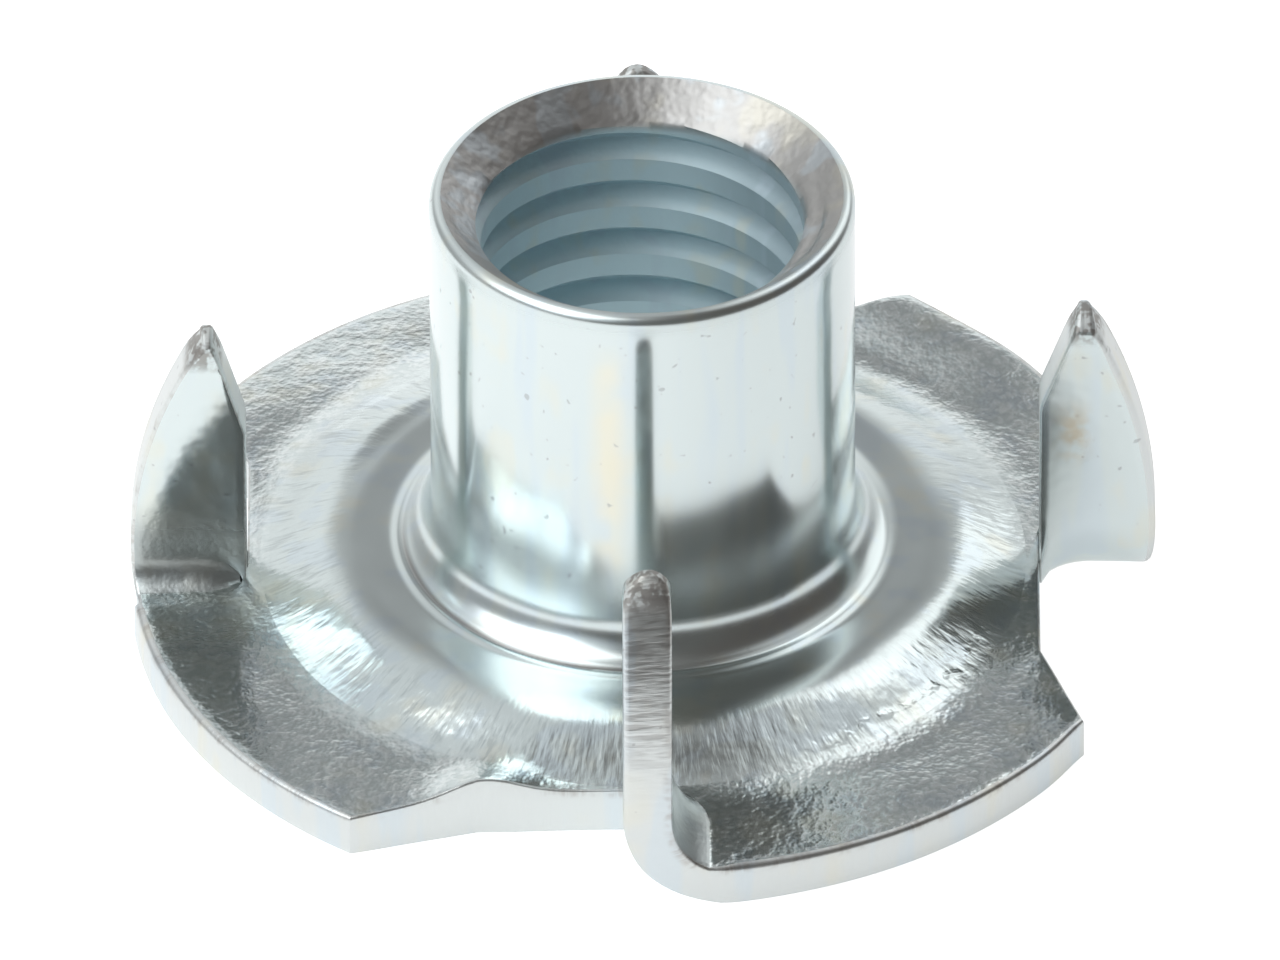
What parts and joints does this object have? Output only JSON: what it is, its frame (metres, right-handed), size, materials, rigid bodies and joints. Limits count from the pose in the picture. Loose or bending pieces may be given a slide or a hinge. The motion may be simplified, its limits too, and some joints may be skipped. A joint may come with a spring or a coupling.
{
  "type": "tee nut",
  "caption": "Pressed steel tee nut with a threaded barrel on a round drawn flange and prongs folded up from its rim.",
  "frame": {"origin": "on the barrel's axis, in the plane of the flange's flat underside", "axes": "+Z along the barrel towards its mouth; +X and +Y point at two of the prongs"},
  "size_m": [0.022, 0.022, 0.0108],
  "materials": {
    "zinc_plate": "bright zinc plating on pressed steel, glossy with fine press marks"
  },
  "bodies": {
    "root": {"tee_nut": "zinc_plate"}
  },
  "joints": []
}
